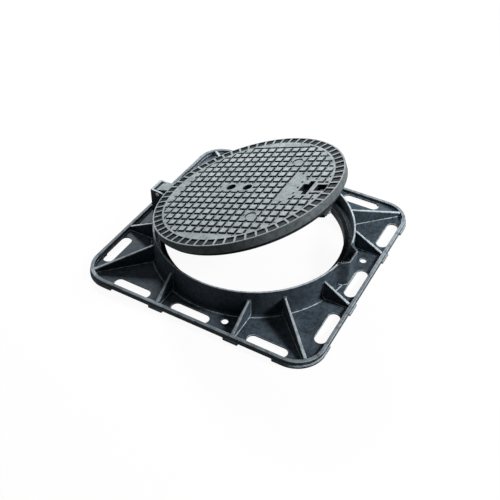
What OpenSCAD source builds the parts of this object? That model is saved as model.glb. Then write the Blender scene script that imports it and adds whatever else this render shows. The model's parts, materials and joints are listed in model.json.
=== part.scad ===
// Hinged manhole cover: a round, treaded lid in a square flanged frame, shown part open.
// Millimetres. The origin is the middle of the frame's base, +Z is up,
// +X runs from the hinge to the lock, and the lid is drawn shut, then turned about its hinge.

/* [Flange] */
// Side of the square flange
flange_side = 850; // [842:1:880]
// Outer radius of the flange's corners
corner_r = 95; // [80:1:105]
// Thickness of the flange plate
plate_t = 7; // [6:0.5:9]
// Height of the feet that lift the flange plate off the ground
foot_h = 5; // [3:0.5:7]
// Distance that the feet stand out past the edge
foot_out = 4; // [2:0.5:6]
// Length of the foot under a side rib
foot_l = 52; // [36:1:60]
// Length of a corner's foot along each side
corner_foot_l = 130; // [112:1:140]
// Height of the upstanding edge above the plate
edge_h = 14; // [10:0.5:18]
// Thickness of the upstanding edge
edge_t = 12; // [9:0.5:13]

/* [Anchor holes] */
// End to end length of an anchor slot
slot_l = 136; // [110:1:140]
// Width of an anchor slot
slot_w = 38; // [30:0.5:39]
// Distance from the flange's side to the slots' centre line
slot_inset = 35; // [33.5:0.5:36]
// Distance from a side's middle to its first slot
slot_first = 236; // [230:1:244]
// Distance from a side's middle to its middle slot, the same way
slot_middle = 13; // [6:1:15]
// Distance from a side's middle to its last slot, the other way
slot_last = 262; // [258:1:268]
// Diameter of a round anchor hole
hole_d = 22; // [14:0.5:26]
// Distance from a side's middle to its round hole
hole_place = 100; // [94:1:110]
// Distance from the flange's side to its round hole
hole_inset = 58; // [52:0.5:60]

/* [Ribs] */
// Distance from a side's middle to its first rib
rib_first = 122; // [112:1:132]
// Distance from a side's middle to its second rib, the other way
rib_second = 153; // [146:1:162]
// Width of a rib at the height of the ring's top edge
rib_top_w = 6; // [4:0.5:8]
// Width of a rib at the ground
rib_base_w = 13; // [10:0.5:16]
// Height of the ribs' top where they meet the ring
rib_h = 80; // [65:1:95]

/* [Ring and seat] */
// Height of the frame, from the ground to the ring's top edge
frame_h = 110; // [108:0.5:116]
// Radius of the clear opening
opening_r = 308; // [300:0.5:310]
// Width of the seat, from the clear opening to the ring's bore
seat_w = 28; // [26:0.5:30]
// Thickness of the ring's top edge
ring_wall = 6.5; // [5:0.5:9]
// Depth of the seat below the ring's top edge
seat_drop = 48.5; // [47:0.5:52]
// Thickness of the seat
seat_t = 14; // [10:0.5:18]
// Depth of the lip that hangs below the seat
lip_h = 18; // [8:0.5:22]
// Width of the sealing ring on the seat
gasket_w = 12; // [8:0.5:13]
// Height of the sealing ring above the seat
gasket_rise = 4.7; // [3:0.1:6]

/* [Pry pocket] */
// Distance from the ring's bore to the pocket's outer face
pocket_reach = 31; // [26:0.5:33]
// Width of the pocket along its outer wall
pocket_w = 59; // [47:1:63]
// Width of the pocket's mouth, where it opens into the ring
pocket_mouth_w = 100; // [84:1:108]

/* [Lid] */
// Gap between the lid and the ring's bore
lid_gap = 5; // [4:0.25:7]
// Height of the lid's outer band
band_h = 29; // [26:0.5:32]
// Thickness of the lid's plate
lid_t = 16; // [13:0.5:20]
// Thickness of the ribs under the lid
stiffener_t = 10; // [7:0.5:13]
// Number of ribs under the lid
stiffener_count = 8; // [8:8:16]
// Distance between the tread's grooves
tread_pitch = 32.5; // [30:0.5:36]
// Distance of the tread's middle groove from the lid's middle, towards the lock
tread_shift = 10.5; // [0:0.5:16]
// Width of the tread's grooves
groove_w = 8; // [5:0.5:10]
// Depth of the tread's grooves and of the rim's cells
tread_depth = 4; // [2:0.5:5]
// Number of cells around the lid's rim
cell_count = 60; // [48:2:72]
// Width of the bars between those cells
bar_w = 8; // [6:0.5:12]
// Diameter of the two vents near the lid's middle
vent_d = 32; // [24:0.5:36]
// Diameter of the two plugs in the lifting holes
plug_d = 36; // [30:0.5:40]

/* [Hinge] */
// Angle at which the lid stands open
open_angle = 20.5; // [0:0.5:90]
// Distance from the ring's bore out to the hinge pin
hinge_reach = 39; // [37:0.5:41]
// Depth of the hinge pin below the ring's top edge
hinge_drop = 12; // [11:0.5:13]
// Diameter of the hinge pin
pin_d = 14; // [12:0.5:16]
// Width of the lid's hinge lug
lug_w = 46; // [40:1:48]
// Thickness of the hinge box's walls
box_wall = 9; // [7:0.5:11]

/* [Lock] */
// Distance from the clear opening's edge in to the lock's spindle
lock_inset = 31; // [30:0.5:35]
// Side of the square well around the spindle's head
well_side = 36; // [33:0.5:38]
// Side of the spindle's square head
drive_side = 17; // [14:0.5:19]
// Reach of the lock's tongue from the spindle
tongue_reach = 52; // [46:0.5:53]
// Width of the lock's tongue
tongue_w = 34; // [28:0.5:36]
// Thickness of the lock's tongue
tongue_t = 12; // [8:0.5:12]
// Diameter of the spindle's shaft
shaft_d = 18; // [17:0.5:20]

/* [Hidden] */
$fn = 96;

iron = "#30363b";
worn_iron = "#6d757b";
rubber = "#141516";
steel = "#8a9095";

// Small amounts used throughout: what a cut runs past a face, and what a piece runs into its carrier
overshoot = 1;
root = 2;
running_gap = 0.05;
resting_gap = 0.3;
loose_gap = 0.2;

// Heights above the ground
plate_z = foot_h + plate_t;
edge_z = plate_z + edge_h;
seat_z = frame_h - seat_drop;
seat_base_z = seat_z - seat_t;
lip_z = seat_base_z - lip_h;
lid_seat_z = seat_z + gasket_rise + resting_gap;
lid_plate_z = frame_h - lid_t;
band_z = frame_h - band_h;

// The flange
half_side = flange_side / 2;
foot_in = 18;
foot_overlap = 5;
corner_foot_from = half_side - corner_foot_l;
sides = [0 : 3];
hinge_side = 2;
slot_d = half_side - slot_inset;
hole_from_middle = half_side - hole_inset;
corner_d = (half_side - corner_r) * sqrt(2) + corner_r;

// The ring, thinner below its seat, and the ribs, which end inside the edge and just below its top
ring_bore_r = opening_r + seat_w;
ring_r = ring_bore_r + ring_wall;
ring_draft = 4;
ring_foot_r = ring_r + ring_draft;
hollow_step = 3;
ring_hollow_r = ring_bore_r + hollow_step;
cove = 9;
edge_break = 1.5;
rib_root_r = ring_hollow_r + root / 2;
rib_land = 12;
rib_bite = edge_t / 2 - overshoot;
rib_dip = 2;
gasket_edge = 2;
gasket_r = opening_r + gasket_edge;
gasket_set = 2;

// The pry pocket
pocket_wall = 6;
pocket_x = ring_bore_r + pocket_reach;
pocket_step = 5;
pocket_z = seat_z - pocket_step;
pocket_corner = 6;
pocket_lead = 5;
hollow_top_t = 9;

// The hinge
hinge_x = -(ring_bore_r + hinge_reach);
hinge_z = frame_h - hinge_drop;
side_gap = 2;
lug_wall = 8;
lug_r = pin_d / 2 + lug_wall;
lug_step = 3;
lug_base_z = hinge_z - lug_r - lug_step;
box_w = lug_w + 2 * side_gap;
back_gap = 6;
box_back_x = hinge_x - lug_r - back_gap;
box_x = box_back_x - box_wall;
floor_gap = 10;
box_z = lug_base_z - floor_gap;
box_corner = 5;
pin_inset = 1;
pin_l = box_w + 2 * box_wall - 2 * pin_inset;

// The lid
lid_r = ring_bore_r - lid_gap;
lid_foot_set = 1.5;
lid_foot_r = gasket_r + gasket_w - lid_foot_set;
lid_foot_w = 11;
lid_foot_inner = lid_foot_r - lid_foot_w;
band_slope = 3;
rim_w = 6;
cell_l = 27;
field_border = 8;
cell_outer_r = lid_r - rim_w;
cell_inner_r = cell_outer_r - cell_l;
field_r = cell_inner_r - field_border;
tread_rows = floor(field_r / tread_pitch);
hub_r = 110;
stiffener_rise = 4;
stiffener_z = lid_seat_z + stiffener_rise;
stiffener_offset = 180 / stiffener_count;
lock_place = opening_r - lock_inset;

// Smooth places and openings in the tread
vent_places = [-65, 1];
vent_patch = [-105, 22];
vent_patch_w = 44;
plug_places = [[109, 162], [109, -162]];
plug_shank_d = 22;
plug_cap_t = 6;
plug_border = 5;
plug_patch_d = plug_d + 2 * plug_border;
plug_tail = 3;
plug_drop = 3;
plug_top_z = frame_h - plug_drop;
plug_l = lid_t - plug_drop + plug_tail;
sign_patch = [145, 192];
sign_patch_w = 160;
border_patch_w = 190;
border_patch_from = tread_rows * tread_pitch + groove_w / 2;
well_rim = 9;
well_patch = well_side + 2 * well_rim;
key_bar_w = 17;
key_bar_l = 76;
key_stub_w = 18;
key_stub_l = 40;
key_rim = 9;
key_x = lock_place - well_patch / 2 - key_rim - key_bar_w;
key_patch_l = key_bar_l + 2 * key_rim;
key_boss_x = key_x - key_stub_w - key_rim;
key_boss_h = 6;
key_boss_z = lid_plate_z - key_boss_h;

// The lock, from its tongue upwards
tongue_gap = 2;
tongue_corner = 4;
tongue_z = seat_base_z - tongue_gap - tongue_t;
washer_t = 2;
washer_r = 13.5;
nut_h = 10;
nut_flats = 19;
thread_r = 6;
square_side = 12.5;
square_gap = 0.1;
nut_z = tongue_z - washer_t - nut_h;
spindle_tail = 6;
spindle_z = nut_z - spindle_tail;
cotter_r = 1.5;
cotter_z = nut_z - spindle_tail / 2;
cotter_l = 24;
cotter_eye_r = 3.2;
boss_rise = 2;
boss_z = lid_seat_z + boss_rise;
well_floor_t = 10;
well_z = boss_z + well_floor_t;
seal_t = 3;
seal_r = 15;
collar_z = well_z + seal_t + loose_gap;
collar_t = 5;
drive_h = 11.5;
shaft_r = shaft_d / 2;
boss_wall = 10;
boss_side = well_side + 2 * boss_wall;
boss_x = lid_foot_inner + root;
notch_gap = 4;
wire_r = 1.6;
coil_gap = 0.9;
coil_r = shaft_r + wire_r + coil_gap;
coil_turns = 4;
coil_steps = 24;
coil_sides = 8;
coil_z = tongue_z + tongue_t + washer_t;
coil_l = boss_z - resting_gap - coil_z;

// Turns what is drawn in the shut lid's place to the open lid's place
module on_lid() {
    translate([hinge_x, 0, hinge_z])
        rotate([0, -open_angle, 0])
            translate([-hinge_x, 0, -hinge_z])
                children();
}

// The same, at the spindle's axis
module on_lock() {
    on_lid()
        translate([lock_place, 0, 0])
            children();
}

// A square with round corners, about the origin
module rounded_square(side, r) {
    square([side, side - 2 * r], center = true);
    square([side - 2 * r, side], center = true);
    for (sx = [-1, 1], sy = [-1, 1])
        translate([sx * (side / 2 - r), sy * (side / 2 - r)])
            circle(r);
}

// A strip of width w along +X, from x1 to x2, with round corners at x2
module nosed_strip(x1, x2, w, r) {
    translate([x1, -w / 2])
        square([x2 - r - x1, w]);
    translate([x1, r - w / 2])
        square([x2 - x1, w - 2 * r]);
    for (s = [-1, 1])
        translate([x2 - r, s * (w / 2 - r)])
            circle(r);
}

// A strip along +X that narrows from width w1 at x1 to w2 near x2, with cut corners at x2
module tapered_strip(x1, w1, x2, w2, cut) {
    polygon([
        [x1, -w1 / 2], [x2 - cut, -w2 / 2], [x2, cut - w2 / 2],
        [x2, w2 / 2 - cut], [x2 - cut, w2 / 2], [x1, w1 / 2]
    ]);
}

// A box from x1 to x2 and z1 to z2, of width w about the X axis
module block(x1, x2, w, z1, z2) {
    translate([x1, -w / 2, z1])
        cube([x2 - x1, w, z2 - z1]);
}

// A ring of rectangular section
module hoop(r1, r2, z1, z2) {
    rotate_extrude()
        translate([r1, z1])
            square([r2 - r1, z2 - z1]);
}

// Flange plate, upstanding edge and feet
module flange_plate() {
    translate([0, 0, foot_h])
        linear_extrude(plate_t)
            difference() {
                rounded_square(flange_side, corner_r);
                circle(ring_hollow_r + root);
            }
    translate([0, 0, foot_h])
        linear_extrude(plate_t + edge_h)
            difference() {
                rounded_square(flange_side, corner_r);
                rounded_square(flange_side - 2 * edge_t, corner_r - edge_t);
            }
}

module feet() {
    linear_extrude(foot_h + foot_overlap)
        intersection() {
            difference() {
                rounded_square(flange_side + 2 * foot_out, corner_r + foot_out);
                rounded_square(flange_side - 2 * foot_in, corner_r - foot_in);
            }
            for (side = sides)
                rotate(90 * side) {
                    translate([corner_foot_from, corner_foot_from])
                        square(half_side);
                    for (place = [-rib_first, rib_second])
                        translate([half_side - 2 * foot_in, place - foot_l / 2])
                            square([4 * foot_in, foot_l]);
                }
        }
}

// One side's slots and its round hole, on the +X side
module side_holes(with_middle) {
    places = with_middle ? [-slot_first, -slot_middle, slot_last] : [-slot_first, slot_last];
    for (place = places)
        translate([slot_d, place]) {
            square([slot_w, slot_l - slot_w], center = true);
            for (s = [-1, 1])
                translate([0, s * (slot_l - slot_w) / 2])
                    circle(d = slot_w);
        }
    translate([hole_from_middle, hole_place])
        circle(d = hole_d);
}

module anchor_holes() {
    translate([0, 0, -overshoot])
        linear_extrude(plate_z + 2 * overshoot)
            for (side = sides)
                rotate(90 * side)
                    side_holes(side != hinge_side);
}

// A rib along +X from the ring to the edge, wider at its foot
module rib(from, to) {
    slope = (rib_base_w - rib_top_w) / 2;
    intersection() {
        rotate([90, 0, 0])
            linear_extrude(2 * rib_base_w, center = true)
                polygon([
                    [from, foot_h], [from, rib_h], [from + rib_land, rib_h],
                    [to - rib_bite, edge_z - rib_dip], [to, edge_z - rib_dip], [to, foot_h]
                ]);
        rotate([90, 0, 90])
            linear_extrude(flange_side)
                polygon([
                    [-rib_base_w / 2, 0], [rib_base_w / 2, 0],
                    [rib_base_w / 2 - slope, frame_h], [slope - rib_base_w / 2, frame_h]
                ]);
    }
}

// Where a line along a side's ribs, at a distance from the side's middle, comes out of the ring's root
function ring_at(place) = sqrt(pow(rib_root_r, 2) - pow(place, 2));

// The ribs end on a curve inside the ring's wall
module ribs() {
    difference() {
        for (side = sides)
            rotate([0, 0, 90 * side]) {
                for (place = [-rib_first, rib_second])
                    translate([0, place, 0])
                        rib(ring_at(abs(place) + rib_base_w / 2), half_side - edge_t / 2);
                rotate([0, 0, 45])
                    rib(rib_root_r - root, corner_d - edge_t / 2);
            }
        cylinder(h = frame_h, r = rib_root_r);
    }
}

// The ring with its seat, the lip below it and the groove for the sealing ring
module ring() {
    rotate_extrude()
        polygon([
            [ring_bore_r, seat_z], [ring_bore_r, frame_h - edge_break],
            [ring_bore_r + edge_break, frame_h], [ring_r - edge_break, frame_h],
            [ring_r, frame_h - edge_break], [ring_foot_r, plate_z + cove],
            [ring_foot_r + cove, plate_z], [ring_foot_r + cove, foot_h],
            [ring_foot_r, foot_h], [ring_foot_r, 0], [ring_hollow_r, 0],
            [ring_hollow_r, seat_base_z], [opening_r + seat_t, seat_base_z],
            [opening_r + seat_t / 2, lip_z], [opening_r, lip_z], [opening_r, seat_z],
            [gasket_r, seat_z], [gasket_r, seat_z - gasket_set],
            [gasket_r + gasket_w, seat_z - gasket_set], [gasket_r + gasket_w, seat_z]
        ]);
}

module pocket_walls() {
    translate([0, 0, foot_h])
        linear_extrude(frame_h - foot_h)
            tapered_strip(
                ring_bore_r + root, pocket_mouth_w + 2 * pocket_wall,
                pocket_x, pocket_w + 2 * pocket_wall, pocket_corner
            );
}

module pocket_cuts() {
    inner_x = pocket_x - pocket_wall;
    translate([0, 0, pocket_z])
        linear_extrude(frame_h)
            tapered_strip(ring_bore_r - pocket_lead, pocket_mouth_w, inner_x, pocket_w, pocket_corner / 2);
    block(ring_hollow_r - overshoot, inner_x, pocket_w, -overshoot, pocket_z - hollow_top_t);
}

// The hinge box is drawn on the +X side and turned to the hinge
module box_walls() {
    rotate([0, 0, 180])
        translate([0, 0, foot_h])
            linear_extrude(frame_h - foot_h)
                nosed_strip(ring_bore_r + root, -box_x, box_w + 2 * box_wall, box_corner);
}

module box_cuts() {
    block(box_back_x, -ring_bore_r + 3 * ring_wall, box_w, box_z, frame_h + overshoot);
    block(box_back_x, -ring_hollow_r + overshoot, box_w, -overshoot, box_z - hollow_top_t);
    translate([hinge_x, 0, hinge_z])
        rotate([90, 0, 0])
            cylinder(h = 2 * box_w, d = pin_d, center = true);
}

// Room below the seat for the lock's tongue
module tongue_notch() {
    reach = tongue_reach + tongue_w / 2 + notch_gap;
    translate([lock_place, -reach, lip_z - overshoot])
        cube([ring_hollow_r - lock_place - notch_gap, 2 * reach, seat_base_z - lip_z + overshoot]);
}

module frame() {
    color(iron)
        difference() {
            union() {
                flange_plate();
                feet();
                ribs();
                ring();
                pocket_walls();
                box_walls();
            }
            anchor_holes();
            pocket_cuts();
            box_cuts();
            tongue_notch();
        }
}

module seat_gasket() {
    color(rubber)
        hoop(gasket_r, gasket_r + gasket_w, seat_z - gasket_set, seat_z + gasket_rise);
}

module hinge_pin() {
    color(steel)
        translate([hinge_x, 0, hinge_z])
            rotate([90, 0, 0])
                cylinder(h = pin_l, d = pin_d, center = true);
}

// The lid's plate, outer band and bearing rim
module lid_shell() {
    rotate_extrude()
        polygon([
            [0, lid_plate_z], [0, frame_h], [lid_r - edge_break, frame_h],
            [lid_r, frame_h - edge_break], [lid_r, band_z], [lid_foot_r, band_z - band_slope],
            [lid_foot_r, lid_seat_z], [lid_foot_inner, lid_seat_z], [lid_foot_inner, lid_plate_z]
        ]);
}

module lid_stiffeners() {
    hoop(hub_r - stiffener_t / 2, hub_r + stiffener_t / 2, stiffener_z, lid_plate_z + root);
    for (i = [0 : stiffener_count - 1])
        rotate([0, 0, stiffener_offset + 360 * i / stiffener_count])
            block(hub_r, lid_foot_inner + root, stiffener_t, stiffener_z, lid_plate_z + root);
}

// Thickened iron around the lock's well and the lifting key's slot
module lid_bosses() {
    block(lock_place - boss_side / 2, boss_x, boss_side, boss_z, lid_plate_z + root);
    block(key_boss_x, lock_place - boss_side / 2 + root, key_patch_l, key_boss_z, lid_plate_z + root);
}

// The lug turns about the hinge pin, so its end is round about that axis
module hinge_lug() {
    rotate([90, 0, 0])
        linear_extrude(lug_w, center = true)
            difference() {
                union() {
                    translate([hinge_x, hinge_z])
                        circle(lug_r);
                    translate([hinge_x, lug_base_z])
                        square([-hinge_x - lid_foot_r, frame_h - lug_base_z]);
                }
                translate([hinge_x - 2 * lug_r, frame_h])
                    square(4 * lug_r);
                translate([hinge_x, hinge_z])
                    circle(pin_d / 2 + running_gap);
            }
}

// Places where the tread leaves the lid smooth
module smooth_places() {
    translate([vent_patch[0], -vent_patch_w / 2])
        square([vent_patch[1] - vent_patch[0], vent_patch_w]);
    translate([sign_patch[0], -sign_patch_w / 2])
        square([sign_patch[1] - sign_patch[0], sign_patch_w]);
    translate([key_boss_x, -key_patch_l / 2])
        square([key_bar_w + key_stub_w + 2 * key_rim, key_patch_l]);
    translate([lock_place - well_patch / 2, -well_patch / 2])
        square(well_patch);
    for (place = plug_places)
        translate(place)
            circle(d = plug_patch_d);
    for (turn = [90, 180, 270])
        rotate(turn)
            translate([border_patch_from, -border_patch_w / 2])
                square([field_r, border_patch_w]);
}

// A square grid of grooves inside the rim
module tread() {
    difference() {
        intersection() {
            circle(field_r);
            for (i = [-tread_rows : tread_rows]) {
                translate([tread_shift + i * tread_pitch, 0])
                    square([groove_w, 2 * field_r], center = true);
                translate([0, i * tread_pitch])
                    square([2 * field_r, groove_w], center = true);
            }
        }
        smooth_places();
    }
}

// A ring of cells between radial bars
module rim_cells() {
    difference() {
        circle(cell_outer_r);
        circle(cell_inner_r);
        for (i = [0 : cell_count - 1])
            rotate(360 * i / cell_count)
                translate([cell_inner_r - overshoot, -bar_w / 2])
                    square([cell_outer_r - cell_inner_r + 2 * overshoot, bar_w]);
    }
}

// The lifting key drops through a T-shaped slot and turns below it
module key_slot() {
    translate([key_x, -key_bar_l / 2])
        square([key_bar_w, key_bar_l]);
    translate([key_x - key_stub_w, -key_stub_l / 2])
        square([key_stub_w + overshoot, key_stub_l]);
}

module lid_cuts() {
    translate([0, 0, frame_h - tread_depth])
        linear_extrude(2 * tread_depth) {
            tread();
            rim_cells();
        }
    translate([0, 0, key_boss_z - overshoot])
        linear_extrude(frame_h)
            key_slot();
    for (place = vent_places)
        translate([place, 0, stiffener_z])
            cylinder(h = frame_h, d = vent_d);
    for (place = plug_places)
        translate([place[0], place[1], 0]) {
            translate([0, 0, plug_top_z - plug_cap_t])
                cylinder(h = frame_h, d = plug_d + 2 * loose_gap);
            translate([0, 0, stiffener_z])
                cylinder(h = frame_h, d = plug_shank_d + 2 * loose_gap);
        }
    translate([lock_place, 0, 0]) {
        translate([-well_side / 2, -well_side / 2, well_z])
            cube([well_side, well_side, frame_h]);
        cylinder(h = frame_h, r = shaft_r + running_gap);
    }
}

module lid() {
    color(worn_iron)
        on_lid()
            difference() {
                union() {
                    lid_shell();
                    lid_stiffeners();
                    lid_bosses();
                    hinge_lug();
                }
                lid_cuts();
            }
}

// Caps that close the two lifting holes
module lift_plugs() {
    color(worn_iron)
        on_lid()
            for (place = plug_places)
                translate([place[0], place[1], plug_top_z - plug_l])
                    rotate_extrude()
                        polygon([
                            [0, 0], [plug_shank_d / 2 - edge_break, 0], [plug_shank_d / 2, edge_break],
                            [plug_shank_d / 2, plug_l - plug_cap_t], [plug_d / 2, plug_l - plug_cap_t],
                            [plug_d / 2, plug_l - edge_break], [plug_d / 2 - edge_break, plug_l], [0, plug_l]
                        ]);
}

// Square head in the well, collar, round shaft, square for the tongue and a threaded end
module lock_spindle() {
    collar_top = collar_z + collar_t;
    color(steel)
        on_lock()
            difference() {
                union() {
                    translate([-drive_side / 2, -drive_side / 2, collar_top])
                        cube([drive_side, drive_side, drive_h]);
                    translate([0, 0, collar_z])
                        cylinder(h = collar_t, r = seal_r);
                    translate([0, 0, tongue_z + tongue_t])
                        cylinder(h = collar_z - tongue_z - tongue_t, r = shaft_r);
                    translate([-square_side / 2, -square_side / 2, tongue_z])
                        cube([square_side, square_side, tongue_t]);
                    translate([0, 0, spindle_z])
                        cylinder(h = tongue_z - spindle_z, r = thread_r);
                }
                translate([0, 0, cotter_z])
                    rotate([90, 0, 0])
                        cylinder(h = 4 * thread_r, r = cotter_r + loose_gap / 2, center = true);
            }
}

module lock_seal() {
    color(rubber)
        on_lock()
            hoop(shaft_r + loose_gap, seal_r, well_z, well_z + seal_t);
}

// One point on the spring's skin, step i along the wire and j around it
function coil_point(i, j) =
    let (
        a = 360 * i / coil_steps,
        b = 360 * j / coil_sides,
        r = coil_r + wire_r * cos(b),
        rise = (coil_l - 2 * wire_r) * i / (coil_turns * coil_steps)
    )
    [r * cos(a), r * sin(a), coil_z + wire_r + rise + wire_r * sin(b)];

module lock_spring() {
    last = coil_turns * coil_steps;
    skin = [
        for (i = [0 : last - 1], j = [0 : coil_sides - 1])
            let (k = (j + 1) % coil_sides)
            [
                i * coil_sides + j, (i + 1) * coil_sides + j,
                (i + 1) * coil_sides + k, i * coil_sides + k
            ]
    ];
    start = [for (j = [0 : coil_sides - 1]) j];
    end = [for (j = [coil_sides - 1 : -1 : 0]) last * coil_sides + j];
    color(steel)
        on_lock()
            polyhedron(
                points = [for (i = [0 : last], j = [0 : coil_sides - 1]) coil_point(i, j)],
                faces = concat(skin, [start, end])
            );
}

// One washer above the tongue and one below it
module lock_washers() {
    color(steel)
        on_lock() {
            hoop(shaft_r + loose_gap, washer_r, tongue_z + tongue_t, coil_z);
            hoop(thread_r + loose_gap, washer_r, tongue_z - washer_t, tongue_z);
        }
}

// Unlocked, the tongue points along the lid's rim
module lock_tongue() {
    hole_side = square_side + 2 * square_gap;
    color(iron)
        on_lock()
            translate([0, 0, tongue_z])
                linear_extrude(tongue_t)
                    difference() {
                        union() {
                            circle(d = tongue_w);
                            rotate(-90)
                                nosed_strip(0, tongue_reach, tongue_w, tongue_corner);
                        }
                        square(hole_side, center = true);
                    }
}

module lock_nut() {
    color(steel)
        on_lock()
            translate([0, 0, nut_z])
                difference() {
                    cylinder(h = nut_h, d = nut_flats / cos(30), $fn = 6);
                    translate([0, 0, -overshoot])
                        cylinder(h = nut_h + 2 * overshoot, r = thread_r + loose_gap / 2);
                }
}

// Split pin through the spindle's end, with its eye
module lock_cotter() {
    color(steel)
        on_lock()
            translate([0, 0, cotter_z])
                rotate([90, 0, 0]) {
                    cylinder(h = cotter_l, r = cotter_r, center = true);
                    translate([0, 0, cotter_l / 2 + cotter_eye_r])
                        rotate([90, 0, 0])
                            rotate_extrude()
                                translate([cotter_eye_r, 0])
                                    circle(cotter_r);
                }
}

frame();
seat_gasket();
hinge_pin();
lid();
lift_plugs();
lock_spindle();
lock_seal();
lock_spring();
lock_washers();
lock_tongue();
lock_nut();
lock_cotter();
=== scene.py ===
# %% [markdown]
# # A hinged manhole cover, part open
#
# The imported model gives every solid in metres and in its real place: a square ribbed frame, a round treaded
# lid on a hinge, and the lock that hangs below the lid. CAD solids have knife-sharp edges and no finish.
# Each step below takes one kind of piece, says what it is on the real object, and dresses it. Lengths are
# in metres, unless a name says otherwise.

# %% Load the solids
import json
import math

import bmesh
import bpy
from mathutils import Matrix, Vector
from mathutils.geometry import delaunay_2d_cdt

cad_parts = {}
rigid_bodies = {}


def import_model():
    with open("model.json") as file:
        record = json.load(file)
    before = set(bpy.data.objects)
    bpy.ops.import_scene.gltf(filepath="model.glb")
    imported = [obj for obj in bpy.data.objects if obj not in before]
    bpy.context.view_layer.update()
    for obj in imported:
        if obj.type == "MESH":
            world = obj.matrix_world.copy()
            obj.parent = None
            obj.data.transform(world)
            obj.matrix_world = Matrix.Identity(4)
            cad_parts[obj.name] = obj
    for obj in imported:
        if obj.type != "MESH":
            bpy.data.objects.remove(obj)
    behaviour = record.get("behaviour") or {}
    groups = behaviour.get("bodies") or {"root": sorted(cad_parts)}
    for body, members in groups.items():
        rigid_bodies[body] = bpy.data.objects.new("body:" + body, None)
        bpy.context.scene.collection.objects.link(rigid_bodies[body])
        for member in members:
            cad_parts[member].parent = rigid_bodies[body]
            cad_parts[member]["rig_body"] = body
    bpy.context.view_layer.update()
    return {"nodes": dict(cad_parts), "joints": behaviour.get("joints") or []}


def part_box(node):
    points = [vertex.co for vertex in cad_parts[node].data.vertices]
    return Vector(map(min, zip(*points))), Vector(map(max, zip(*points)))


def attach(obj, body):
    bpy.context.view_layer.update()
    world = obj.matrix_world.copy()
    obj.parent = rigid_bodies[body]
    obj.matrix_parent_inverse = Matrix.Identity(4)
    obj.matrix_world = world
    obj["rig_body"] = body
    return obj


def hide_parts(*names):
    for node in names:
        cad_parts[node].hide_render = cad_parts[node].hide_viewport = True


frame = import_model()
print("solids:", ", ".join(sorted(frame["nodes"])))

# %% [markdown]
# ## The camera
#
# The photo looks down on the cover from the lock's side, with a medium lens a few paces away. The view was
# worked out from the corners of the frame, so it is written as an angle around the cover, an angle above
# the ground, a distance and a focal length in pixels. The lens axis is a little off the picture's middle,
# as in a cropped picture, and Blender's shift says the same thing.

# %% Camera
AZIMUTH = math.radians(28.66)
ELEVATION = math.radians(41.99)
ROLL = math.radians(0.6)
DISTANCE = 2.594
PICTURE_SIDE = 500
FOCAL_LENGTH_PX = 744.4
LENS_AXIS_PX = (254.0, 244.4)
SENSOR_MM = 36.0

towards_camera = Vector((
    math.sin(AZIMUTH) * math.cos(ELEVATION),
    -math.cos(AZIMUTH) * math.cos(ELEVATION),
    math.sin(ELEVATION),
))
picture_right = Vector((math.cos(AZIMUTH), math.sin(AZIMUTH), 0))
picture_up = towards_camera.cross(picture_right)


def link(thing):
    """Puts an object into the scene."""
    bpy.context.scene.collection.objects.link(thing)
    return thing


lens = bpy.data.cameras.new("photo_lens")
lens.sensor_width = SENSOR_MM
lens.lens = FOCAL_LENGTH_PX * SENSOR_MM / PICTURE_SIDE
lens.shift_x = 0.5 - LENS_AXIS_PX[0] / PICTURE_SIDE
lens.shift_y = LENS_AXIS_PX[1] / PICTURE_SIDE - 0.5
camera = link(bpy.data.objects.new("photo_camera", lens))
facing = Matrix((picture_right, picture_up, towards_camera)).transposed().to_4x4()
camera.matrix_world = Matrix.Translation(towards_camera * DISTANCE) @ facing @ Matrix.Rotation(ROLL, 4, "Z")
bpy.context.scene.camera = camera
print("lens", round(lens.lens, 1), "mm")

# %% [markdown]
# ## Node trees
#
# The room, the floor and every finish are trees of nodes, in which one node's output feeds another's input.
# They could be drawn by hand in the shader editor. Here a few short helpers add the nodes and join them, so
# that the lines which use them read like the recipe itself.

# %% Helpers for node trees
# A Mix node has sockets for numbers, vectors and colours. These are its share and those for colours.
MIX_SHARE, MIX_FIRST, MIX_SECOND, MIX_RESULT = 0, 6, 7, 2


def empty_tree(owner):
    """The node tree of a material or a world, with nothing in it."""
    owner.use_nodes = True
    owner.node_tree.nodes.clear()
    return owner.node_tree


def feed(tree, socket, value):
    """Gives an input a plain value, or joins another node's output to it."""
    if isinstance(value, bpy.types.NodeSocket):
        tree.links.new(value, socket)
    else:
        socket.default_value = value


def put(tree, kind, settings=None, **inputs):
    """Adds a node, sets its settings, and feeds its inputs by name, with _ for each blank in a name."""
    made = tree.nodes.new(kind)
    for name, value in (settings or {}).items():
        setattr(made, name, value)
    for name, value in inputs.items():
        feed(tree, made.inputs[name.replace("_", " ")], value)
    return made


def sums(tree, operation, first, second):
    """One step of arithmetic with two values."""
    made = put(tree, "ShaderNodeMath", {"operation": operation})
    feed(tree, made.inputs[0], first)
    feed(tree, made.inputs[1], second)
    return made.outputs["Value"]


def blended(tree, share, first, second):
    """A colour that goes from first to second with share. Each may be a colour or another node's output."""
    made = put(tree, "ShaderNodeMix", {"data_type": "RGBA"})
    for index, value in ((MIX_SHARE, share), (MIX_FIRST, first), (MIX_SECOND, second)):
        feed(tree, made.inputs[index], value)
    return made.outputs[MIX_RESULT]


def mixed_shader(tree, share, first, second):
    """A shader that goes from first to second with share."""
    made = put(tree, "ShaderNodeMixShader", Fac=share)
    tree.links.new(first, made.inputs[1])
    tree.links.new(second, made.inputs[2])
    return made.outputs["Shader"]


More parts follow.
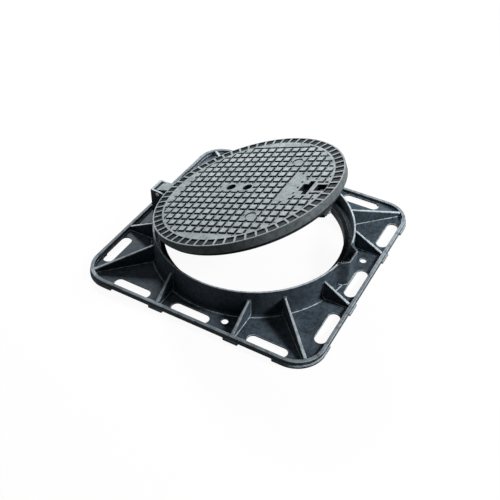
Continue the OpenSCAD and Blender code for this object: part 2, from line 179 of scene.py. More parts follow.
# %% [markdown]
# ## The studio
#
# The cover is photographed on white. A white floor under soft lamps would come out grey where the cover
# shades it, so the floor and the world show plain white to the camera and to reflections, and a share of
# the floor stays an ordinary matt surface, which keeps a soft shadow. Light that the floor throws back at
# the cover would wash out the dark bays between the ribs, so for that light the floor is a mid grey.
#
# The lamps light the cover at a level where a colour comes out about as it is written. In the photo every
# wall that faces the viewer is dark and every crest shines, so the lamps stand behind: one on the hinge's
# side, and one on the lock's side. A broad, weak one above opens up the shadows.

# %% White room
WHITE = (1, 1, 1, 1)
ROOM_LIGHT = 0.015


def seen_directly(tree):
    """1 for rays from the camera, in a reflection or through glass, and 0 for rays that gather light."""
    path = put(tree, "ShaderNodeLightPath").outputs
    mirrored = sums(tree, "MAXIMUM", path["Is Glossy Ray"], path["Is Transmission Ray"])
    return sums(tree, "MAXIMUM", path["Is Camera Ray"], mirrored)


bpy.context.scene.view_settings.view_transform = "Standard"
world = bpy.data.worlds.new("white_room")
room = empty_tree(world)
dim = put(room, "ShaderNodeBackground", Color=WHITE, Strength=ROOM_LIGHT).outputs["Background"]
white = put(room, "ShaderNodeBackground", Color=WHITE, Strength=1.0).outputs["Background"]
put(room, "ShaderNodeOutputWorld", Surface=mixed_shader(room, seen_directly(room), dim, white))
bpy.context.scene.world = world
print("room", world.name, "with a light of", ROOM_LIGHT)

# %% White floor
FLOOR_HALF = 30.0
FLOOR_DROP = 0.0003
FLOOR_SHADOW = 0.06
FLOOR_BOUNCE = (0.35, 0.35, 0.35, 1)

paper = bpy.data.materials.new("white_floor")
sheet = empty_tree(paper)
seen = seen_directly(sheet)
matt = put(sheet, "ShaderNodeBsdfDiffuse", Color=blended(sheet, seen, FLOOR_BOUNCE, WHITE)).outputs["BSDF"]
bright = put(sheet, "ShaderNodeEmission", Color=WHITE, Strength=1.0).outputs["Emission"]
bright_share = sums(sheet, "MULTIPLY", seen, 1 - FLOOR_SHADOW)
put(sheet, "ShaderNodeOutputMaterial", Surface=mixed_shader(sheet, bright_share, matt, bright))

ground = bpy.data.meshes.new("floor")
corners = [(x * FLOOR_HALF, y * FLOOR_HALF, -FLOOR_DROP) for x, y in ((-1, -1), (1, -1), (1, 1), (-1, 1))]
ground.from_pydata(corners, [], [(0, 1, 2, 3)])
ground.materials.append(paper)
link(bpy.data.objects.new("floor", ground))
print("floor", 2 * FLOOR_HALF, "m wide")


# %% Lamps
def soft_lamp(name, place, side, watts):
    """A square lamp that looks at the middle of the frame's base."""
    lamp = bpy.data.lights.new(name, "AREA")
    lamp.size = side
    lamp.energy = watts
    stand = link(bpy.data.objects.new(name, lamp))
    stand.location = place
    stand.rotation_euler = Vector(place).to_track_quat("Z", "Y").to_euler()


soft_lamp("lamp_above", place=(-0.4, 0.2, 3.4), side=2.2, watts=12)
soft_lamp("lamp_behind", place=(-1.9, 2.0, 1.9), side=0.7, watts=120)
soft_lamp("lamp_lock_side", place=(2.5, 0.8, 2.0), side=0.7, watts=110)

# %% [markdown]
# ## Cast iron under a dark coating
#
# Sand leaves fine grain and small pits on a casting. The works dips it in a dark coating, which lies a
# little thicker here and thinner there, and rubs off first along the edges. A painted picture could show
# that, but it would have to be laid out over every rib, so all of it is procedural: three noises from broad
# to fine, a pattern of scattered cells for the pits, and two attributes, one for wear and one for dust, which
# the meshes carry along their rounded edges and corners. The pale colour that wear brings to edges and crests
# is worn iron and also a painted highlight, and the pale colour that dust brings to the flange's fillets is
# dust and also a painted highlight. The noises break both up, so that an edge is scuffed in patches and not
# painted on evenly. The lid has a third attribute, tread, for what shoes and wheels have polished; where it
# is nothing, on the walls, the pads' shoulders and the rim's cells, the dark coat colour is painted shade.
# The lock's tongue has a darker finish with little wear, which is painted shade for its place below the lid.
#
# A coating on iron is no bare metal, so the shader isn't metallic, and its gloss is kept low, because in a
# white room a glossy black would look grey. A noise's scale says about how many of its blobs lie along a
# metre. Its values keep near 0.5, so each range that is mapped below is cut from around there.

# %% Patterns for the finishes
NOISE_ROUGHNESS = 0.6


def new_finish(name):
    """A material, its empty tree, and the place on the piece that its patterns follow."""
    finish = bpy.data.materials.new(name)
    tree = empty_tree(finish)
    return finish, tree, put(tree, "ShaderNodeTexCoord").outputs["Object"]


def mapped(tree, value, low, high, to_low, to_high):
    """Stretches value from low..high to to_low..to_high, and holds it there."""
    made = put(
        tree, "ShaderNodeMapRange",
        Value=value, From_Min=low, From_Max=high, To_Min=to_low, To_Max=to_high,
    )
    return made.outputs["Result"]


def noise(tree, place, scale, detail):
    """A soft random pattern, with finer noise upon it as detail rises."""
    made = put(
        tree, "ShaderNodeTexNoise",
        Vector=place, Scale=scale, Detail=detail, Roughness=NOISE_ROUGHNESS,
    )
    return made.outputs["Fac"]


def weighted(tree, *parts):
    """Adds up values, each times its own weight."""
    total = 0.0
    for value, weight in parts:
        total = sums(tree, "ADD", total, sums(tree, "MULTIPLY", value, weight))
    return total


def broken_up(tree, name, pattern, low, high, least):
    """A mesh's attribute, brought down to a least share of itself where the pattern is low."""
    share = put(tree, "ShaderNodeAttribute", {"attribute_name": name}).outputs["Fac"]
    return sums(tree, "MULTIPLY", share, mapped(tree, pattern, low, high, least, 1))


def relief(tree, height, strength, distance):
    """Bumps too fine to model, as a normal for the shader."""
    made = put(tree, "ShaderNodeBump", Strength=strength, Distance=distance, Height=height)
    return made.outputs["Normal"]


def end_finish(tree, **looks):
    """Ends a finish's tree in the shader for solid surfaces."""
    body = put(tree, "ShaderNodeBsdfPrincipled", **looks)
    put(tree, "ShaderNodeOutputMaterial", Surface=body.outputs["BSDF"])


# %% Iron
# Each noise has a scale and a detail.
BROAD_NOISE = (11, 4)
PATCH_NOISE = (62, 5)
GRAIN_NOISE = (360, 3)
COAT_GLOSS = 0.03
PIT_SCALE = 85
PIT_RIM = (0.06, 0.13)
PIT_SHARE = 0.55


def iron_finish(name, thick, thin, worn_and_sheen, dusty, trodden=None):
    """Coated cast iron: thick and thin coating, scuffed edges and dusty corners that both carry a painted
    highlight, and, if given, a trodden top.
    """
    finish, tree, place = new_finish(name)
    broad = noise(tree, place, *BROAD_NOISE)
    patchy = noise(tree, place, *PATCH_NOISE)
    grain = noise(tree, place, *GRAIN_NOISE)
    cells = put(tree, "ShaderNodeTexVoronoi", Vector=place, Scale=PIT_SCALE)
    pits = mapped(tree, cells.outputs["Distance"], *PIT_RIM, 1, 0)
    flow = weighted(tree, (broad, 0.3), (patchy, 0.3), (grain, 0.4))
    height = weighted(tree, (grain, 0.5), (patchy, 0.8), (pits, -0.5))

    colour = blended(tree, mapped(tree, flow, 0.38, 0.62, 0, 1), thick, thin)
    if trodden:
        top = blended(tree, mapped(tree, flow, 0.36, 0.64, 0, 1), *trodden)
        # Tread: polished tops; where it is 0, the dark coat colour left on walls and cells is painted shade.
        colour = blended(tree, broken_up(tree, "tread", patchy, 0.3, 0.5, 0.72), colour, top)
    # Dust in the corners; its pale colour on the frame is also a painted highlight in the fillets.
    colour = blended(tree, broken_up(tree, "dust", patchy, 0.34, 0.56, 0.3), colour, dusty)
    # Wear on edges and crests; its pale colour is also a painted highlight along them.
    colour = blended(tree, broken_up(tree, "wear_and_sheen", patchy, 0.32, 0.52, 0.45), colour, worn_and_sheen)
    colour = blended(tree, sums(tree, "MULTIPLY", pits, PIT_SHARE), colour, thick)

    end_finish(
        tree, Base_Color=colour, Specular_IOR_Level=COAT_GLOSS,
        Roughness=weighted(tree, (mapped(tree, flow, 0.35, 0.65, 0.36, 0.5), 1), (grain, 0.08)),
        Normal=relief(tree, height, strength=0.35, distance=0.0012),
    )
    return finish


# %% Iron finishes
DARK_THICK = (0.006, 0.008, 0.010, 1)
DARK_THIN = (0.022, 0.028, 0.033, 1)
DARK_DUST = (0.05, 0.06, 0.065, 1)

# The frame's pale edge and fillet colours are wear and dust, and also painted highlights.
coated_iron = iron_finish(
    "coated_iron",
    thick=(0.014, 0.020, 0.026, 1), thin=(0.093, 0.123, 0.152, 1),
    worn_and_sheen=(0.51, 0.58, 0.62, 1), dusty=(0.49, 0.56, 0.61, 1),
)
# On the lid the dark coat colour on walls, the pads' shoulders and the rim's cells is painted shade.
lid_iron = iron_finish(
    "lid_iron", thick=DARK_THICK, thin=DARK_THIN, worn_and_sheen=(0.60, 0.66, 0.68, 1), dusty=DARK_DUST,
    trodden=((0.215, 0.250, 0.264, 1), (0.50, 0.56, 0.58, 1)),
)
# The lock's tongue: a darker finish with little wear, painted shade for the shade below the lid.
shaded_tongue_iron = iron_finish(
    "shaded_tongue_iron", thick=DARK_THICK, thin=DARK_THIN, worn_and_sheen=(0.20, 0.23, 0.25, 1), dusty=DARK_DUST,
)
print("finishes", coated_iron.name, lid_iron.name, shaded_tongue_iron.name)

# %% [markdown]
# ## Rubber and steel
#
# The seals are black rubber, matt with a trace of dust. The hinge pin and the lock's pieces are plain steel,
# turned or drawn, so their marks run fine and close, with dark grease in places. The spindle's steel is
# darker and duller. Steel is the only bare metal here, so it alone has a metallic shader. These pieces are
# small, and two noises each are enough for them.

# %% Rubber and steel finishes
DUST_NOISE = (28, 5)
RUBBER_NOISE = (700, 2)
GREASE_NOISE = (90, 4)
MARK_NOISE = (900, 2)


def rubber_finish(name, clean, dusty):
    """Matt rubber, clean in places and dusty in others."""
    finish, tree, place = new_finish(name)
    dust = noise(tree, place, *DUST_NOISE)
    end_finish(
        tree, Base_Color=blended(tree, mapped(tree, dust, 0.45, 0.7, 0, 1), clean, dusty),
        Roughness=mapped(tree, dust, 0.4, 0.7, 0.55, 0.8), Specular_IOR_Level=COAT_GLOSS,
        Normal=relief(tree, noise(tree, place, *RUBBER_NOISE), strength=0.2, distance=0.0004),
    )
    return finish


def steel_finish(name, greasy, clean, dull, bright):
    """Steel from greasy to clean, and from dull to bright, which are the two ends of its roughness."""
    finish, tree, place = new_finish(name)
    grease = noise(tree, place, *GREASE_NOISE)
    end_finish(
        tree, Base_Color=blended(tree, mapped(tree, grease, 0.42, 0.62, 0, 1), greasy, clean),
        Roughness=mapped(tree, grease, 0.35, 0.65, dull, bright), Metallic=1.0,
        Normal=relief(tree, noise(tree, place, *MARK_NOISE), strength=0.15, distance=0.0003),
    )
    return finish


black_rubber = rubber_finish(
    "black_rubber", clean=(0.010, 0.011, 0.013, 1), dusty=(0.030, 0.033, 0.036, 1),
)
steel = steel_finish(
    "steel", greasy=(0.16, 0.16, 0.165, 1), clean=(0.42, 0.43, 0.44, 1), dull=0.5, bright=0.3,
)
dark_dull_steel = steel_finish(
    "dark_dull_steel", greasy=(0.012, 0.012, 0.012, 1), clean=(0.05, 0.05, 0.05, 1), dull=0.8, bright=0.65,
)
print("finishes", black_rubber.name, steel.name, dark_dull_steel.name)

# %% [markdown]
# ## Rounding a casting
#
# No cast edge is sharp: sand can't hold a corner, and molten iron fills inner corners with a fillet. A
# CAD node's mesh is loose triangles, so a copy of it is welded into one skin and its flat faces are joined
# up again. Then every sharp edge gets a bevel of a few steps. A Bevel modifier would do that too, but
# the bmesh operator also says which faces it made, and that is what the finish needs: a bevel on an outer
# edge is where the coating rubs off, and a fillet in a corner on a level floor is where dust stays. Both
# also carry a painted highlight, a pale line for the light that a rounded edge or fillet catches. A crest
# that looks upwards and is only a few millimetres broad, such as a rib's top, rubs bare all over, and its
# pale colour is partly a painted highlight too. These shares are written on the mesh as attributes.
# Weighted normals keep the flats flat in the light.
#
# Where two sharp edges run closer together than their two bevels, the outline of the flat between them
# crosses itself. Such a flat is filled again from its outline, with a triangulation that copes with
# crossings. The new faces come to lie in the mesh in another order on each run, so the parts of a finished
# skin are sorted by their place. Whatever is strewn over it later then falls on the same spots every time.

# %% Weld a solid into one skin
WELD = 2e-6
FLAT = math.radians(0.6)


def welded(node):
    """A node's mesh as one closed skin of triangles."""
    skin = bmesh.new()
    skin.from_mesh(frame["nodes"][node].data)
    bmesh.ops.remove_doubles(skin, verts=skin.verts, dist=WELD)
    return skin


def flats_joined(skin):
    """The same skin, with the triangles of each flat joined into one face."""
    bmesh.ops.dissolve_limit(skin, angle_limit=FLAT, verts=skin.verts, edges=skin.edges)
    return skin


def skin_of(node):
    """A node's mesh as one closed skin, with its flats joined."""
    return flats_joined(welded(node))


# %% Fill crossed flats again
CROSSED_EXCESS = 1.001
INSIDE_OUTLINE = 1
SAME_POINT = 1e-7


def crossed_flats(skin):
    """Faces whose triangles cover more than the face does, because their outline crosses itself."""
    covered = {}
    for corners in skin.calc_loop_triangles():
        first, second, third = (loop.vert.co for loop in corners)
        area = (second - first).cross(third - first).length / 2
        covered[corners[0].face] = covered.get(corners[0].face, 0) + area
    return [
        face for face, area in covered.items()
        if len(face.verts) > 4 and area > face.calc_area() * CROSSED_EXCESS
    ]


def refill(skin, face):
    """Fills a flat face again from its outline."""
    normal = face.normal.copy()
    across = normal.orthogonal().normalized()
    along = normal.cross(across)
    rim = list(face.verts)
    level = rim[0].co.dot(normal)
    outline = [Vector((vert.co.dot(across), vert.co.dot(along))) for vert in rim]
    points, _, triangles, sources, _, _ = delaunay_2d_cdt(
        outline, [], [list(range(len(rim)))], INSIDE_OUTLINE, SAME_POINT,
    )
    skin.faces.remove(face)
    verts = [
        rim[source[0]] if source else skin.verts.new(across * point.x + along * point.y + normal * level)
        for point, source in zip(points, sources)
    ]
    for triangle in triangles:
        corners = [verts[index] for index in triangle]
        if len(set(corners)) == 3 and skin.faces.get(corners) is None:
            skin.faces.new(corners)


# %% Find sharp edges and crests
SHARP = math.radians(50)
BLUNT = math.radians(40)
FLOOR_FACING = 0.99
THIN_CREST = 0.004
BROAD_CREST = 0.009
CREST_BEND = 0.2
CREST_FACING = 0.2


def is_sharp(edge):
    """True for a sharp edge, and for the blunter corner where a slope meets a level floor."""
    if not edge.is_manifold:
        return False
    turn = edge.calc_face_angle_signed(0)
    on_floor = max(face.normal.z for face in edge.link_faces) > FLOOR_FACING
    return abs(turn) > SHARP or (on_floor and turn < -BLUNT)


def crest_wear_and_sheen(skin, rounded):
    """How bare each narrow crest that looks upwards is, such as a rib's top, fully where it is thinnest; its
    pale colour is also a painted highlight.
    """
    bare = {}
    for face in skin.faces:
        around = face.calc_perimeter()
        breadth = 2 * face.calc_area() / around
        if face in rounded or breadth > BROAD_CREST or face.normal.z < CREST_FACING:
            continue
        bend = sum(edge.calc_face_angle_signed(0) * edge.calc_length() for edge in face.edges) / around
        if bend > CREST_BEND:
            bare[face] = min((BROAD_CREST - breadth) / (BROAD_CREST - THIN_CREST), 1)
    return bare


# %% Round the edges
EDGE_WEAR_AND_SHEEN = 0.68
FLOOR_CORNER = 0.3


def round_edges(skin, width, steps=2, dust_and_sheen_below=math.inf, worn=1.0, leave=lambda edge: False):
    """Bevels the sharp edges, and writes wear with a painted highlight on outer edges and crests, and dust
    with a painted highlight in a floor's corners.
    """
    edges = [edge for edge in skin.edges if is_sharp(edge) and not leave(edge)]
    made = bmesh.ops.bevel(
        skin, geom=edges, offset=width, offset_type="OFFSET", segments=steps, profile=0.5,
        affect="EDGES", clamp_overlap=False, loop_slide=False, material=-1,
    )
    rounded = set(made["faces"])
    skin.normal_update()
    for face in crossed_flats(skin):
        if face not in rounded:
            refill(skin, face)
    skin.normal_update()
    wear_and_sheen = skin.loops.layers.float.new("wear_and_sheen")
    dust = skin.loops.layers.float.new("dust")
    crests = {face: worn * bare for face, bare in crest_wear_and_sheen(skin, rounded).items()}
    for face in skin.faces:
        for loop in face.loops:
            loop[wear_and_sheen] = crests.get(face, 0.0)
            if face not in rounded:
                continue
            loop[wear_and_sheen] = max(crests.get(near, 0.0) for near in loop.vert.link_faces)
            if all(near in rounded for near in loop.vert.link_faces):
                bend = sum(edge.calc_face_angle_signed(0) for edge in loop.vert.link_edges)
                if bend > 0:
                    # A worn edge, and a painted highlight along it.
                    loop[wear_and_sheen] = max(loop[wear_and_sheen], worn * EDGE_WEAR_AND_SHEEN)
                elif loop.vert.normal.z > FLOOR_CORNER and loop.vert.co.z < dust_and_sheen_below:
                    # Dust in the fillet, and a painted highlight there.
                    loop[dust] = 1.0
    return rounded


# %% Turn a skin into a piece
PLACE_DIGITS = 6


def fix_order(skin):
    """Sorts a skin's corners, edges and faces by place, to the micron."""
    places = (
        (skin.verts, lambda vert: vert.co),
        (skin.edges, lambda edge: edge.verts[0].co + edge.verts[1].co),
        (skin.faces, lambda face: face.calc_center_median()),
    )
    for parts, place in places:
        in_order = sorted(parts, key=lambda part: [round(value, PLACE_DIGITS) for value in place(part)])
        rank = {part: index for index, part in enumerate(in_order)}
        parts.sort(key=rank.get)


def keep(skin, name, finish):
    """Makes a skin into a piece with one finish, smooth over its bevels and flat on its flats."""
    fix_order(skin)
    mesh = bpy.data.meshes.new(name)
    skin.to_mesh(mesh)
    skin.free()
    mesh.shade_smooth()
    mesh.materials.clear()
    mesh.materials.append(finish)
    piece = link(bpy.data.objects.new(name, mesh))
    even = piece.modifiers.new("even_normals", "WEIGHTED_NORMAL")
    even.mode = "FACE_AREA"
    return piece


def settle(piece, node):
    """The piece stands for a CAD node and moves with that node's body."""
    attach(piece, frame["nodes"][node]["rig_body"])
    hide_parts(node)
    print(piece.name, len(piece.data.polygons), "faces")
    return piece


# %% [markdown]
# ## The frame
#
# One casting: flange, upstanding edge, feet, ribs, ring, pry pocket and hinge box. It could be modelled
# again in Blender, but the CAD solid has its shape already, so it only needs rounding. The ends of the pry
# pocket's walls are left sharp where they show as slivers at the ring's top, because a bevel would turn a
# sliver into a spike. Dust, and the painted highlight that goes with it in the fillets, lies on the flange,
# not on the seat, and the top of the hinge box is rubbed bare. The hinge pin is flush with the box, so its
# ends say how wide the box is.

# %% Frame
FRAME_EDGE = 0.0024
FLANGE_TOP = 0.03
POCKET_WALL_END = (0.338, 0.100)
HINGE_BOX_FROM = -0.345
HINGE_BOX_TOP = 0.1
HINGE_BOX_WEAR = 0.7

hinge_box_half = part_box("hinge_pin")[1][1]


def ends_pocket_wall(edge):
    """True for the few millimetres where the ring's edge leaves the end of a pocket wall bare."""
    start, lowest = POCKET_WALL_END
    return all(abs(vert.co.x - start) < WELD and vert.co.z > lowest for vert in edge.verts)


def on_hinge_box(point):
    """True on top of the hinge box, where the lid's lug and the boots of whoever lifts it rub."""
    return point.x < HINGE_BOX_FROM and abs(point.y) < hinge_box_half and point.z > HINGE_BOX_TOP


frame_skin = skin_of("frame")
round_edges(frame_skin, FRAME_EDGE, steps=3, dust_and_sheen_below=FLANGE_TOP, leave=ends_pocket_wall)
frame_wear_and_sheen = frame_skin.loops.layers.float["wear_and_sheen"]
for face in frame_skin.faces:
    if on_hinge_box(face.calc_center_median()):
        for loop in face.loops:
            loop[frame_wear_and_sheen] = max(loop[frame_wear_and_sheen], HINGE_BOX_WEAR)
frame_casting = settle(keep(frame_skin, "frame_casting", coated_iron), "frame")

# %% [markdown]
# ## The lid
#
# The lid is another casting. Its tread is a square grid of small pads, each a little higher in its
# middle so that water runs off. The pads all follow one rule, so Geometry Nodes crown them: every face
# that is marked as a pad is pushed up by itself and drawn in. To mark the pads, the script needs to know
# which way the lid faces, and that comes from the hinge, whose lowest angle is the shut lid.


# %% Lid's own directions
def joint_named(name):
    """One of the model's joints, with its place, axis and range."""
    return next(joint for joint in frame["joints"] if joint["name"] == name)


hinge = joint_named("lid_hinge")
open_angle = -math.radians(hinge["range_deg"][0])
hinge_place = Vector(hinge["pos_m"])
lid_turn = Matrix.Rotation(open_angle, 3, Vector(hinge["axis"]))
lid_up = lid_turn @ Vector((0, 0, 1))


def lid_height(point):
    """How far up a point is, in the direction that the lid's top faces."""
    return point.dot(lid_up)


def from_lid_axis(point):
    """A point's distance from the lid's axis, which stands in the frame's middle when the lid is shut."""
    shut = lid_turn.inverted() @ (point - hinge_place) + hinge_place
    return shut.xy.length


print("lid stands open by", round(math.degrees(open_angle)), "degrees")

# %% [markdown]
# Where a groove meets a smooth place, the solid has steps of half a millimetre. Sand couldn't hold them, so
# each such step is closed before the tread is rounded. A pad is a flat in the top plane with a sharp edge
# all around. The smooth places and the rim are pieces of flat that join each other, so they aren't pads.

# %% Lid's skin
TREAD_RADIUS = 0.294
GROOVE_DEPTH = 0.0045
SHORTEST_STEP = 0.0006
SAME_LEVEL = 0.0002

lid_skin = welded("lid")
top_level = max(lid_height(vert.co) for vert in lid_skin.verts)
tread_corners = [
    vert for vert in lid_skin.verts
    if from_lid_axis(vert.co) < TREAD_RADIUS and lid_height(vert.co) > top_level - GROOVE_DEPTH
]
corners_before = len(lid_skin.verts)
bmesh.ops.remove_doubles(lid_skin, verts=tread_corners, dist=SHORTEST_STEP)
flats_joined(lid_skin)
print("lid's corners", corners_before, "and after joining", len(lid_skin.verts))


# %% Mark the tread's pads
def is_pad(face):
    """True for a flat in the lid's top plane with a sharp edge all around."""
    on_top = all(top_level - lid_height(vert.co) < SAME_LEVEL for vert in face.verts)
    return on_top and all(edge.calc_face_angle(0) > SHARP for edge in face.edges)


pad_mark = lid_skin.faces.layers.int.new("pad")
for face in lid_skin.faces:
    face[pad_mark] = int(is_pad(face))
print(sum(face[pad_mark] for face in lid_skin.faces), "pads")

# %% [markdown]
# A Geometry Nodes tree works on a mesh like a modifier. Each tree here has named inputs for its sizes, and
# ends by making copies into real faces and giving them a finish. It is run once, on an object that only
# carries it, and the result is taken off as a plain mesh, which can be rounded and kept like any other.


# %% Helpers for Geometry Nodes
def tree_with(name, inputs):
    """A geometry node tree with a mesh in, a mesh out and named inputs, and the outputs that give them."""
    tree = bpy.data.node_groups.new(name, "GeometryNodeTree")
    tree.interface.new_socket("Geometry", in_out="INPUT", socket_type="NodeSocketGeometry")
    for label, kind in inputs.items():
        tree.interface.new_socket(label, in_out="INPUT", socket_type="NodeSocket" + kind)
    tree.interface.new_socket("Geometry", in_out="OUTPUT", socket_type="NodeSocketGeometry")
    return tree, tree.nodes.new("NodeGroupInput").outputs


def end_tree(tree, mesh, finish):
    """Ends a tree in one real mesh with one finish."""
    whole = put(tree, "GeometryNodeRealizeInstances", Geometry=mesh)
    coloured = put(tree, "GeometryNodeSetMaterial", Geometry=whole.outputs["Geometry"], Material=finish)
    put(tree, "NodeGroupOutput", Geometry=coloured.outputs["Geometry"])


def run_tree(mesh, tree, values):
    """Runs a tree on a mesh and gives back a plain mesh."""
    carrier = link(bpy.data.objects.new(tree.name, mesh))
    step = carrier.modifiers.new(tree.name, "NODES")
    step.node_group = tree
    for item in tree.interface.items_tree:
        if item.in_out == "INPUT" and item.name in values:
            step[item.identifier] = values[item.name]
    depsgraph = bpy.context.evaluated_depsgraph_get()
    made = bpy.data.meshes.new_from_object(carrier.evaluated_get(depsgraph))
    bpy.data.objects.remove(carrier)
    return made


# %% Crown the tread's pads
PAD_CROWN = 0.0008
PAD_TOP_SHARE = 0.84


def crowned_pads_tree():
    """Pushes every marked face up by itself and draws it in."""
    tree, given = tree_with("crowned_pads", {"Crown": "Float", "Top share": "Float", "Finish": "Material"})
    pads = put(tree, "GeometryNodeInputNamedAttribute", {"data_type": "INT"}, Name="pad").outputs["Attribute"]
    raised = put(
        tree, "GeometryNodeExtrudeMesh", {"mode": "FACES"},
        Mesh=given["Geometry"], Selection=pads, Offset_Scale=given["Crown"], Individual=True,
    )
    drawn_in = put(
        tree, "GeometryNodeScaleElements", {"domain": "FACE"},
        Geometry=raised.outputs["Mesh"], Selection=raised.outputs["Top"], Scale=given["Top share"],
    )
    end_tree(tree, drawn_in.outputs["Geometry"], given["Finish"])
    return tree


flat_lid = bpy.data.meshes.new("flat_lid")
lid_skin.to_mesh(flat_lid)
lid_skin.free()
crowned_lid = run_tree(flat_lid, crowned_pads_tree(), {
    "Crown": PAD_CROWN, "Top share": PAD_TOP_SHARE, "Finish": lid_iron,
})
print("crowned lid", len(crowned_lid.polygons), "faces")

# %% [markdown]
# The tread attribute marks what is trodden on. The pads' tops are rubbed bright, and the rim and the
# smooth places, which lie a little lower, less so. Grit polishes the grooves' floors too.
# Every wall, the pads' sloping shoulders and the rim's cells are left in the dark coat colour, which is
# painted shade there and draws the tread's dark lines. The outer band gets a small share.

# %% Lid casting
LID_EDGE = 0.0011
LID_WORN = 0.12
FLAT_FACING = 0.95
PAD_SHARE = 1.0
SMOOTH_SHARE = 0.8
GROOVE_SHARE = 0.7
BAND_RADIUS = 0.328
BAND_DEPTH = 0.034
BAND_SHARE = 0.27


def trodden_share(face, top):
    """How far a face is polished, by its depth below a top level. The crowned pads stand above that."""
    middle = face.calc_center_median()
    depth = top - lid_height(middle)
    out = from_lid_axis(middle)
    lies_flat = face.normal.dot(lid_up) > FLAT_FACING
    if lies_flat and depth < SAME_LEVEL:
        return SMOOTH_SHARE if depth > -SAME_LEVEL else PAD_SHARE
    if lies_flat and out < TREAD_RADIUS and depth < GROOVE_DEPTH:
        return GROOVE_SHARE
    if out > BAND_RADIUS and depth < BAND_DEPTH:
        return BAND_SHARE
    # Walls, shoulders and cells keep the dark coat colour: painted shade.
    return 0.0


def mark_tread(skin, rounded, top):
    """Writes the tread attribute. A bevel takes the highest share of the flats that it touches."""
    tread = skin.loops.layers.float.new("tread")
    shares = {face: trodden_share(face, top) for face in skin.faces if face not in rounded}
    for face in skin.faces:
        for loop in face.loops:
            near = [shares[other] for other in loop.vert.link_faces if other in shares]
            loop[tread] = shares.get(face, max(near, default=0.0))


lid_skin = bmesh.new()
lid_skin.from_mesh(crowned_lid)
mark_tread(lid_skin, round_edges(lid_skin, LID_EDGE, worn=LID_WORN), top_level)
settle(keep(lid_skin, "lid_casting", lid_iron), "lid")

# %% [markdown]
# ## The caps in the lifting holes
#
# Two iron caps close the holes that the lid is lifted by. They lie a few millimetres deep, so the
# tread's marking is measured from their own top, and the wall of the hole shows around them in the dark coat
# colour, painted shade as on the tread's walls.

# %% Lift plugs
PLUG_EDGE = LID_EDGE / 2

plug_skin = skin_of("lift_plugs")
plug_top = max(lid_height(vert.co) for vert in plug_skin.verts)
mark_tread(plug_skin, round_edges(plug_skin, PLUG_EDGE, worn=LID_WORN), plug_top)
settle(keep(plug_skin, "lift_plug_caps", lid_iron), "lift_plugs")

# %% [markdown]
# ## Seals, hinge pin and lock
#
# These are small turned, pressed or moulded pieces, mostly out of sight below the lid. They get the same
# rounding at their own scale, and little wear, because nothing rubs them there. One loop dresses them all:
# each row names the solid, the piece, its finish, its slot and the width of its bevels.

# %% Small pieces
SMALL_WORN = 0.3
SMALL_PIECES = [
    ("seat_gasket", "seat_seal", black_rubber, "black_rubber", 0.0018),
    ("hinge_pin", "hinge_rod", steel, "steel", 0.0010),
    ("lock_spindle", "lock_key_spindle", dark_dull_steel, "steel", 0.0006),
    ("lock_seal", "lock_seal_ring", black_rubber, "black_rubber", 0.0005),
    ("lock_washers", "lock_washer_pair", steel, "steel", 0.0003),
    # The tongue's darker finish is painted shade.
    ("lock_tongue", "lock_tongue_casting", shaded_tongue_iron, "coated_iron", 0.0015),
    ("lock_nut", "lock_hex_nut", steel, "steel", 0.0006),
    ("lock_cotter", "lock_split_pin", steel, "steel", 0.0002),
]
for node, name, finish, slot, width in SMALL_PIECES:
    small_skin = skin_of(node)
    round_edges(small_skin, width, worn=SMALL_WORN)
    settle(keep(small_skin, name, finish), node)

# %% [markdown]
# ## The lock's spring, and the spindle's thread
#
# The spring is one length of round wire, wound so that its end turns lie closer than its middle ones and
# bear flat. The solid shows it as a plain coil. A Screw modifier would give the same even rise all along,
# so Geometry Nodes draw it: a flat spiral of even radius, each point lifted by how far along the wire it
# is, with a share of a smooth step mixed in, and a circle swept along it. A screw thread follows the same
# rule with finer wire and no closed ends, so the same tree winds the thread's ridge onto the spindle's end.

# %% The lock's axis
lock_middle = Vector(joint_named("lock_turn")["pos_m"])


def about_lock(node):
    """A node's lowest and highest place along the lock's axis, and its least and greatest reach from it."""
    heights, reaches = [], []
    for vert in frame["nodes"][node].data.vertices:
        offset = vert.co - lock_middle
        height = offset.dot(lid_up)
        heights.append(height)
        reaches.append((offset - lid_up * height).length)
    return min(heights), max(heights), min(reaches), max(reaches)


spring_low, spring_high, spring_inner, spring_outer = about_lock("lock_spring")
spring_radius = (spring_inner + spring_outer) / 2
spring_wire = (spring_outer - spring_inner) / 2
print("spring wire", round(2 * spring_wire * 1000, 1), "mm across")

# %% Wire wound about the lock's axis
STEPS_PER_TURN = 32
WIRE_SIDES = 10


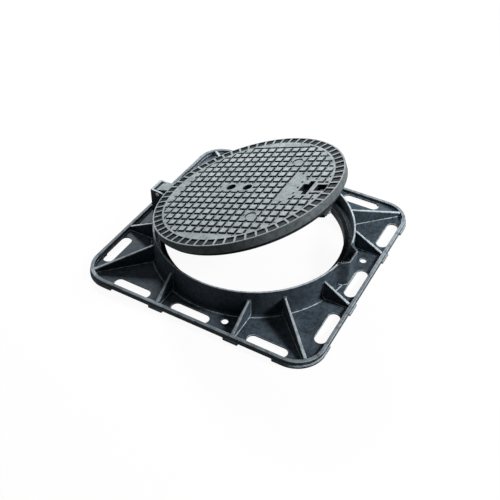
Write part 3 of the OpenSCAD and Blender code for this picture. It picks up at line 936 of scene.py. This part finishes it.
def wound_wire_tree():
    """Round wire that climbs as it winds. Closed ends is the share of the smooth step in its rise."""
    inputs = {
        "Turns": "Float", "Radius": "Float", "Rise": "Float",
        "Wire radius": "Float", "Closed ends": "Float", "Finish": "Material",
    }
    tree, given = tree_with("wound_wire", inputs)
    turns = put(
        tree, "GeometryNodeCurveSpiral", Resolution=STEPS_PER_TURN, Rotations=given["Turns"],
        Start_Radius=given["Radius"], End_Radius=given["Radius"], Height=0.0,
    )
    along = put(tree, "GeometryNodeSplineParameter").outputs["Factor"]
    eased = put(tree, "ShaderNodeMapRange", {"interpolation_type": "SMOOTHSTEP"}, Value=along)
    bent = sums(tree, "SUBTRACT", eased.outputs["Result"], along)
    climb = sums(tree, "ADD", along, sums(tree, "MULTIPLY", given["Closed ends"], bent))
    upward = put(tree, "ShaderNodeCombineXYZ", Z=sums(tree, "MULTIPLY", given["Rise"], climb))
    coil = put(
        tree, "GeometryNodeSetPosition",
        Geometry=turns.outputs["Curve"], Offset=upward.outputs["Vector"],
    )
    section = put(
        tree, "GeometryNodeCurvePrimitiveCircle", Resolution=WIRE_SIDES, Radius=given["Wire radius"],
    )
    swept = put(
        tree, "GeometryNodeCurveToMesh", Curve=coil.outputs["Geometry"],
        Profile_Curve=section.outputs["Curve"], Fill_Caps=True,
    )
    end_tree(tree, swept.outputs["Mesh"], given["Finish"])
    return tree


wound_wire = wound_wire_tree()


def wind(name, low, high, radius, wire_radius, turns, closed_ends):
    """Wire wound about the lock's axis between two heights, as an object with a plain mesh in its place."""
    mesh = run_tree(bpy.data.meshes.new(name), wound_wire, {
        "Turns": turns, "Radius": radius, "Rise": high - low - 2 * wire_radius,
        "Wire radius": wire_radius, "Closed ends": closed_ends, "Finish": steel,
    })
    base = lock_middle + lid_up * (low + wire_radius)
    mesh.transform(Matrix.Translation(base) @ lid_turn.to_4x4())
    mesh.shade_smooth()
    return link(bpy.data.objects.new(name, mesh))


# %% Spring
SPRING_TURNS = 4.5
SPRING_CLOSED = 0.35

lock_coil = wind(
    "lock_coil_spring", spring_low, spring_high, spring_radius, spring_wire, SPRING_TURNS, SPRING_CLOSED,
)
settle(lock_coil, "lock_spring")

# %% Thread on the spindle's end
THREAD_PITCH = 0.00175
THREAD_RIDGE = 0.0005
THREAD_CLOSED = 0.0

spindle_low = about_lock("lock_spindle")[0]
nut_low, _, nut_bore, _ = about_lock("lock_nut")
thread_turns = (nut_low - spindle_low - 2 * THREAD_RIDGE) / THREAD_PITCH
spindle_thread = wind(
    "spindle_thread", spindle_low, nut_low, nut_bore, THREAD_RIDGE, thread_turns, THREAD_CLOSED,
)
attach(spindle_thread, frame["nodes"]["lock_spindle"]["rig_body"])
print("thread of", round(thread_turns, 1), "turns,", len(spindle_thread.data.polygons), "faces")

# %% [markdown]
# ## Specks from the sand mould
#
# Grains that break out of a sand mould leave small bumps of iron on the casting's flats. There are hundreds,
# strewn without order, so placing them by hand is out of the question. Geometry Nodes strew points over
# the flange's top with a fixed seed, and put a small, flat bump on each. A bump has few faces, because it
# is repeated so often.

# %% Mould specks
SPECKS_PER_M2 = 1100.0
SPECK_RADIUS = 0.0017
SPECK_LEAST = (0.35, 0.35, 0.2)
SPECK_MOST = (1.0, 1.0, 0.5)
SPECK_FACES = 20
SPECK_SEED = 7


def mould_specks_tree():
    """Strews flat bumps over the faces of a mesh that lie at one level."""
    inputs = {
        "Level": "Float", "Per square metre": "Float", "Radius": "Float", "Seed": "Int", "Finish": "Material",
    }
    tree, given = tree_with("mould_specks", inputs)
    position = put(tree, "GeometryNodeInputPosition").outputs["Position"]
    height = put(tree, "ShaderNodeSeparateXYZ", Vector=position).outputs["Z"]
    away = sums(tree, "ABSOLUTE", sums(tree, "SUBTRACT", height, given["Level"]), 0.0)
    spots = put(
        tree, "GeometryNodeDistributePointsOnFaces",
        Mesh=given["Geometry"], Selection=sums(tree, "LESS_THAN", away, SAME_LEVEL),
        Density=given["Per square metre"], Seed=given["Seed"],
    )
    bump = put(tree, "GeometryNodeMeshIcoSphere", Radius=given["Radius"], Subdivisions=1)
    size = put(
        tree, "FunctionNodeRandomValue", {"data_type": "FLOAT_VECTOR"},
        Min=SPECK_LEAST, Max=SPECK_MOST, Seed=given["Seed"],
    )
    strewn = put(
        tree, "GeometryNodeInstanceOnPoints", Points=spots.outputs["Points"],
        Instance=bump.outputs["Mesh"], Scale=size.outputs["Value"],
    )
    end_tree(tree, strewn.outputs["Instances"], given["Finish"])
    return tree


# %% Specks on the flange
STRAIGHT_UP = 0.999
LEVEL_DIGITS = 4


def broadest_level(mesh):
    """Height at which most of the area that looks straight up lies, to a tenth of a millimetre."""
    areas = {}
    for face in mesh.polygons:
        if face.normal.z > STRAIGHT_UP:
            level = round(face.center.z, LEVEL_DIGITS)
            areas[level] = areas.get(level, 0) + face.area
    return max(areas, key=areas.get)


specks_mesh = run_tree(frame_casting.data, mould_specks_tree(), {
    "Level": broadest_level(frame_casting.data), "Per square metre": SPECKS_PER_M2,
    "Radius": SPECK_RADIUS, "Seed": SPECK_SEED, "Finish": coated_iron,
})
mould_specks = link(bpy.data.objects.new("mould_specks", specks_mesh))
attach(mould_specks, frame["nodes"]["frame"]["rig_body"])
print(len(specks_mesh.polygons) // SPECK_FACES, "specks on the flange")
